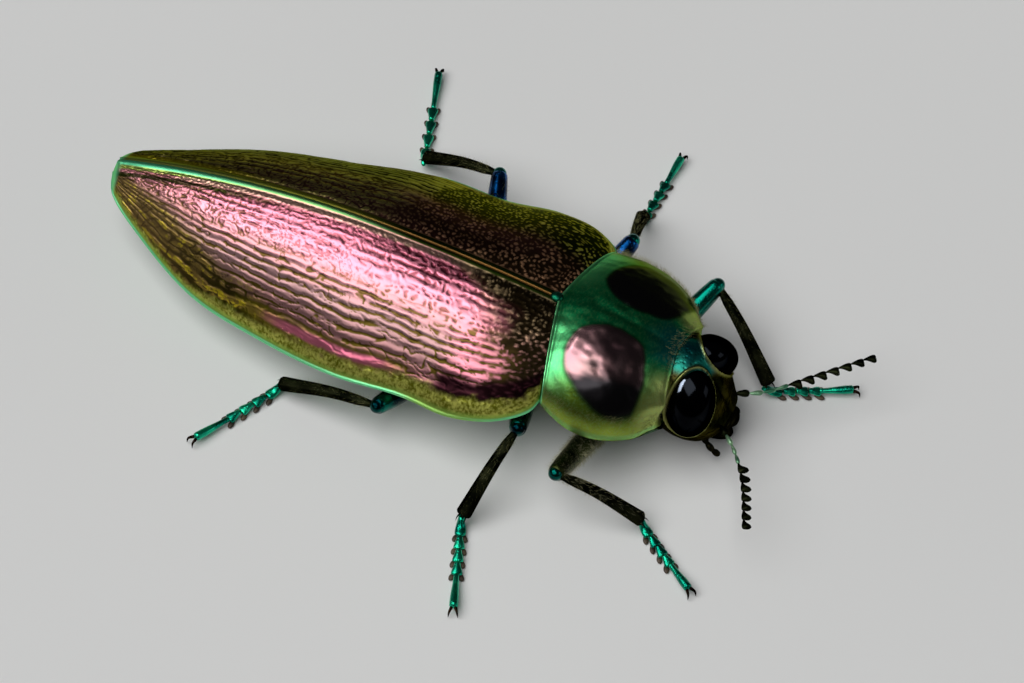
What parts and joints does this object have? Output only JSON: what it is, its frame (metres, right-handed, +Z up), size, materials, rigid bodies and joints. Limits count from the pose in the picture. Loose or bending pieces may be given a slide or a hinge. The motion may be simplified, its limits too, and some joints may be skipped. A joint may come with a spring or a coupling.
{
  "type": "life-size model of a giant metallic wood-boring beetle",
  "caption": "Still life-size model of a giant metallic wood-boring beetle with ribbed wing cases, a smooth green pronotum and splayed legs, standing on its feet.",
  "frame": {"origin": "on the floor under the middle of the whole animal's bounding box, feelers and feet included", "axes": "+X from the tail to the head along the body, +Y towards the beetle's left, +Z up from the floor"},
  "size_m": [0.0708, 0.0546, 0.0132],
  "materials": {
    "wing_case": "gloss",
    "pronotum": "gloss",
    "head_shell": "satin",
    "eye": "gloss",
    "underside": "gloss",
    "leg_green": "gloss",
    "leg_dark": "satin",
    "mouth": "gloss",
    "antenna": "matte"
  },
  "bodies": {
    "root": {"head": "head_shell", "labrum": "mouth", "pronotum": "pronotum", "prosternum": "underside", "scutellum": "leg_green", "thorax": "underside", "abdomen": "underside", "eye_left": "eye", "antenna_left": "antenna", "mandible_left": "mouth", "palp_left": "mouth", "wing_case_left": "wing_case", "eye_right": "eye", "antenna_right": "antenna", "mandible_right": "mouth", "palp_right": "mouth", "wing_case_right": "wing_case", "front_right_coxa": "underside", "front_right_femur": "leg_green", "front_right_tibia": "leg_dark", "front_right_foot": "leg_green", "front_left_coxa": "underside", "front_left_femur": "leg_green", "front_left_tibia": "leg_dark", "front_left_foot": "leg_green", "middle_right_coxa": "underside", "middle_right_femur": "leg_green", "middle_right_tibia": "leg_dark", "middle_right_foot": "leg_green", "middle_left_coxa": "underside", "middle_left_femur": "leg_green", "middle_left_tibia": "leg_dark", "middle_left_foot": "leg_green", "hind_right_coxa": "underside", "hind_right_femur": "leg_green", "hind_right_tibia": "leg_dark", "hind_right_foot": "leg_green", "hind_left_coxa": "underside", "hind_left_femur": "leg_green", "hind_left_tibia": "leg_dark", "hind_left_foot": "leg_green"}
  },
  "joints": []
}
